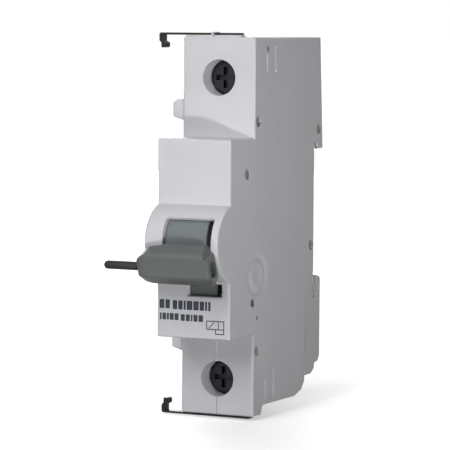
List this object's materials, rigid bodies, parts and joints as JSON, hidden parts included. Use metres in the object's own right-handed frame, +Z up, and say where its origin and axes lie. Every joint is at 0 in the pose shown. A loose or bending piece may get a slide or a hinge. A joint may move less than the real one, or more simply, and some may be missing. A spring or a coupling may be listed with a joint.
{
  "type": "circuit breaker shunt trip module",
  "caption": "Rail-mounted shunt trip module shaped like a miniature circuit breaker, with a toggle, coupling pin, spring hooks, screw terminals and a trip solenoid inside.",
  "frame": {"origin": "centre of the rail seat: middle of the width and of the rail's height, on the rail's front face", "axes": "+X to the right across the module, +Y back into the rail, +Z up"},
  "size_m": [0.0269, 0.0596, 0.0863],
  "materials": {
    "housing": "satin",
    "rail_clip": "satin",
    "toggle": "satin",
    "flag": "matte",
    "black_spring_steel": "satin",
    "dark_steel": "satin",
    "steel": "satin",
    "spring_wire": "polished",
    "zinc": "satin",
    "copper": "satin",
    "silver_contact": "satin",
    "inner_plastic": "satin",
    "bobbin": "satin",
    "enamel_wire": "gloss",
    "brass": "satin"
  },
  "bodies": {
    "housing": {"left_housing": "housing", "right_housing": "housing", "top_coupling_clip": "black_spring_steel", "bottom_coupling_clip": "black_spring_steel", "housing_rivets": "dark_steel", "toggle_axle": "steel", "contact_arm_axle": "steel", "flag_axle": "steel", "trip_lever_axle": "steel", "solenoid_yoke": "steel", "fixed_core": "steel", "din_clip_spring": "spring_wire", "toggle_spring": "spring_wire", "plunger_spring": "spring_wire", "fixed_contact": "copper", "contact_braid": "copper", "upper_terminal_bar": "copper", "lower_terminal_bar": "copper", "fixed_contact_tip": "silver_contact", "coil_bobbin": "bobbin", "coil_winding": "enamel_wire", "coil_lead": "enamel_wire"},
    "toggle": {"toggle": "toggle", "coupling_pin": "dark_steel"},
    "link": {"toggle_link": "steel"},
    "contact_arm": {"contact_arm": "inner_plastic", "moving_contact": "copper", "moving_contact_tip": "silver_contact"},
    "flag": {"indicator_flag": "flag"},
    "trip_lever": {"trip_lever": "inner_plastic", "trip_pin": "steel"},
    "plunger": {"plunger": "steel", "push_rod": "brass"},
    "rail_clip": {"din_clip": "rail_clip"},
    "upper_screw": {"upper_terminal_screw": "dark_steel"},
    "upper_cage": {"upper_terminal_cage": "zinc"},
    "lower_screw": {"lower_terminal_screw": "dark_steel"},
    "lower_cage": {"lower_terminal_cage": "zinc"}
  },
  "joints": [
    {"name": "toggle_pivot", "type": "hinge", "parent": "housing", "child": "toggle", "pos_m": [0, -0.0413, -0.0029], "axis": [-1, 0, 0], "range_deg": [0, 50]},
    {"name": "link_pivot", "type": "hinge", "parent": "toggle", "child": "link", "pos_m": [0, -0.04172, 0.00188], "axis": [-1, 0, 0], "range_deg": [-54.8, 0]},
    {"name": "contact_arm_pivot", "type": "hinge", "parent": "housing", "child": "contact_arm", "pos_m": [0, -0.0265, 0.0105], "axis": [1, 0, 0], "range_deg": [0, 23.05], "deforming": ["contact_braid"]},
    {"name": "flag_pivot", "type": "hinge", "parent": "housing", "child": "flag", "pos_m": [0, -0.0342, -0.0132], "axis": [1, 0, 0], "range_deg": [0, 25.05]},
    {"name": "plunger_slide", "type": "slide", "parent": "housing", "child": "plunger", "axis": [0, 0, -1], "range_m": [0, 0.004], "stiffness_N_per_m": 150, "springref_m": -0.002, "deforming": ["plunger_spring"]},
    {"name": "trip_lever_pivot", "type": "hinge", "parent": "housing", "child": "trip_lever", "pos_m": [0, -0.0233, -0.0212], "axis": [-1, 0, 0], "range_deg": [0, 18]},
    {"name": "rail_clip_slide", "type": "slide", "parent": "housing", "child": "rail_clip", "axis": [0, 0, -1], "range_m": [0, 0.005], "stiffness_N_per_m": 500, "springref_m": -0.003, "deforming": ["din_clip_spring"]},
    {"name": "upper_cage_lift", "type": "slide", "parent": "housing", "child": "upper_cage", "axis": [0, -1, 0], "range_m": [0, 0.005]},
    {"name": "upper_screw_turn", "type": "hinge", "parent": "housing", "child": "upper_screw", "pos_m": [0, -0.0257, 0.0332], "axis": [0, 1, 0], "range_deg": [0, 2250]},
    {"name": "lower_cage_lift", "type": "slide", "parent": "housing", "child": "lower_cage", "axis": [0, -1, 0], "range_m": [0, 0.005]},
    {"name": "lower_screw_turn", "type": "hinge", "parent": "housing", "child": "lower_screw", "pos_m": [0, -0.0257, -0.0342], "axis": [0, 1, 0], "range_deg": [0, 2250]}
  ],
  "couplings": [
    {"joint": "link_pivot", "follows": "toggle_pivot", "ratio": -1.094},
    {"joint": "contact_arm_pivot", "follows": "toggle_pivot", "ratio": 0.46},
    {"joint": "flag_pivot", "follows": "toggle_pivot", "ratio": 0.5},
    {"joint": "trip_lever_pivot", "follows": "plunger_slide", "rad_per_m": 78.5},
    {"joint": "upper_screw_turn", "follows": "upper_cage_lift", "rad_per_m": 7850},
    {"joint": "lower_screw_turn", "follows": "lower_cage_lift", "rad_per_m": 7850}
  ]
}
